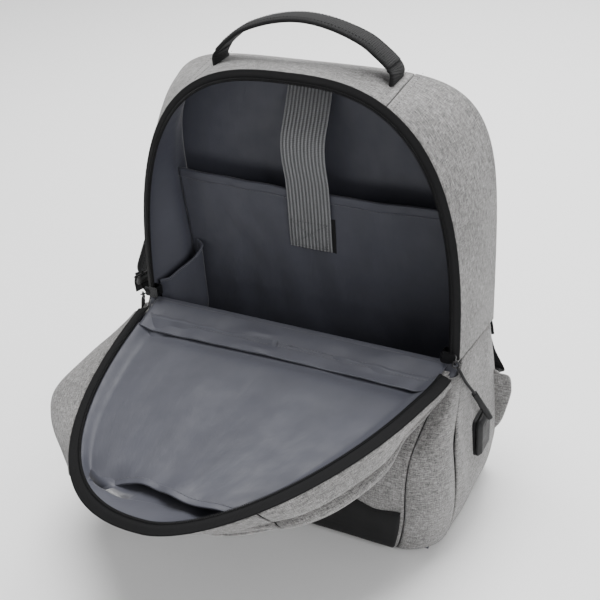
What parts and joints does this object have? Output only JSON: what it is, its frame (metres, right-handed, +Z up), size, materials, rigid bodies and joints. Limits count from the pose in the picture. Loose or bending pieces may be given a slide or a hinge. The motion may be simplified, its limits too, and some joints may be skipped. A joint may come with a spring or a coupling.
{
  "type": "backpack",
  "caption": "Backpack with a drop-down front lid, laptop sleeve with elastic strap, side USB port, shoulder straps, carry handle and a solar panel on the lid.",
  "frame": {"origin": "centre of the underside that the bag stands on", "axes": "+Z up, -Y is the bag's front (lid side), +Y the wearer's back, +X the side with the USB port"},
  "size_m": [0.4347, 0.3852, 0.4367],
  "materials": {
    "grey_fabric": "woven polyester, heather grey",
    "black_fabric": "woven polyester",
    "black_webbing": "ribbed webbing",
    "padded_mesh": "spacer mesh over foam",
    "lining": "satin polyester lining",
    "zip_tape": "woven zip tape",
    "zip_coil": "nylon coil",
    "zip_metal": "black lacquer",
    "black_cord": "braided cord",
    "black_rubber": "moulded, matt",
    "usb_shell": "nickel plated",
    "elastic": "ribbed elastic",
    "black_plastic": "moulded",
    "solar_backing": "laminate sheet",
    "solar_cell": "blue-black silicon",
    "solar_cover": "clear embossed film"
  },
  "bodies": {
    "root": {"back_panel": "black_fabric", "back_pad_left": "padded_mesh", "back_pad_right": "padded_mesh", "lumbar_pad": "padded_mesh", "shoulder_yoke": "black_fabric", "top_panel": "grey_fabric", "upper_side_left": "grey_fabric", "upper_side_right": "grey_fabric", "lower_side_left": "grey_fabric", "lower_side_right": "grey_fabric", "corner_strip_left": "grey_fabric", "corner_strip_right": "grey_fabric", "lower_front_panel": "grey_fabric", "front_patch": "black_fabric", "base_panel": "black_fabric", "lining_upper": "lining", "lining_lower": "lining", "lining_back": "lining", "laptop_sleeve": "lining", "sleeve_loop_patch": "black_fabric", "inner_side_pocket": "lining", "body_zip_tape": "zip_tape", "body_zip_coil": "zip_coil", "usb_base": "black_rubber", "usb_socket": "usb_shell", "anchor_tab_left": "grey_fabric", "anchor_tab_right": "grey_fabric", "handle_anchor_left": "black_webbing", "handle_anchor_right": "black_webbing"},
    "lid": {"lid_front_panel": "grey_fabric", "lid_gusset_left": "grey_fabric", "lid_gusset_right": "grey_fabric", "lid_gusset_tip": "grey_fabric", "lid_lining": "lining", "lid_pocket": "lining", "lid_zip_tape": "zip_tape", "lid_zip_coil": "zip_coil", "solar_backing": "solar_backing", "solar_border": "solar_backing", "solar_cells": "solar_cell", "solar_cover": "solar_cover", "solar_junction_box": "black_plastic"},
    "slider_right": {"zip_slider_right": "zip_metal"},
    "slider_left": {"zip_slider_left": "zip_metal"},
    "puller_right": {"pull_ring_right": "zip_metal", "pull_cord_right": "black_cord", "pull_tab_right": "black_rubber"},
    "puller_left": {"pull_ring_left": "zip_metal", "pull_cord_left": "black_cord", "pull_tab_left": "black_rubber"},
    "usb_cover": {"usb_cover": "black_rubber"},
    "carry_handle": {"carry_handle": "black_webbing"},
    "laptop_strap": {"laptop_strap": "elastic", "strap_hook_patch": "black_fabric"},
    "shoulder_strap_left": {"shoulder_pad_left": "padded_mesh", "ladder_lock_left": "black_plastic", "strap_webbing_left": "black_webbing"},
    "shoulder_strap_right": {"shoulder_pad_right": "padded_mesh", "ladder_lock_right": "black_plastic", "strap_webbing_right": "black_webbing"}
  },
  "joints": [
    {"name": "lid_hinge", "type": "hinge", "parent": "root", "child": "lid", "pos_m": [0, -0.005, 0.169], "axis": [1, 0, 0], "range_deg": [-103.3, 0]},
    {"name": "slider_right_slide", "type": "slide", "parent": "root", "child": "slider_right", "axis": [-0.0307, 0.0654, 0.9974], "range_m": [0, 0.055]},
    {"name": "slider_left_slide", "type": "slide", "parent": "root", "child": "slider_left", "axis": [0.0307, 0.0654, 0.9974], "range_m": [0, 0.055]},
    {"name": "puller_right_hinge", "type": "hinge", "parent": "slider_right", "child": "puller_right", "pos_m": [0.15508, -0.01205, 0.17458], "axis": [-0.6119, 0.791, 0], "range_deg": [-80, 0]},
    {"name": "puller_left_hinge", "type": "hinge", "parent": "slider_left", "child": "puller_left", "pos_m": [-0.15508, -0.01205, 0.17458], "axis": [-0.6119, -0.791, 0], "range_deg": [-80, 0]},
    {"name": "usb_cover_hinge", "type": "hinge", "parent": "root", "child": "usb_cover", "pos_m": [0.17095, 0.0272, 0.089], "axis": [0, 0, 1], "range_deg": [0, 110]},
    {"name": "carry_handle_hinge", "type": "hinge", "parent": "root", "child": "carry_handle", "pos_m": [0, 0.052, 0.4045], "axis": [1, 0, 0], "range_deg": [-35, 35]},
    {"name": "laptop_strap_hinge", "type": "hinge", "parent": "root", "child": "laptop_strap", "pos_m": [0, 0.0575, 0.3735], "axis": [-1, 0, 0], "range_deg": [0, 72]},
    {"name": "shoulder_strap_left_hinge", "type": "hinge", "parent": "root", "child": "shoulder_strap_left", "pos_m": [-0.055, 0.0765, 0.372], "axis": [-0.4104, 0, -0.9119], "range_deg": [0, 70]},
    {"name": "shoulder_strap_right_hinge", "type": "hinge", "parent": "root", "child": "shoulder_strap_right", "pos_m": [0.055, 0.0765, 0.372], "axis": [0.4104, 0, -0.9119], "range_deg": [0, 70]}
  ]
}
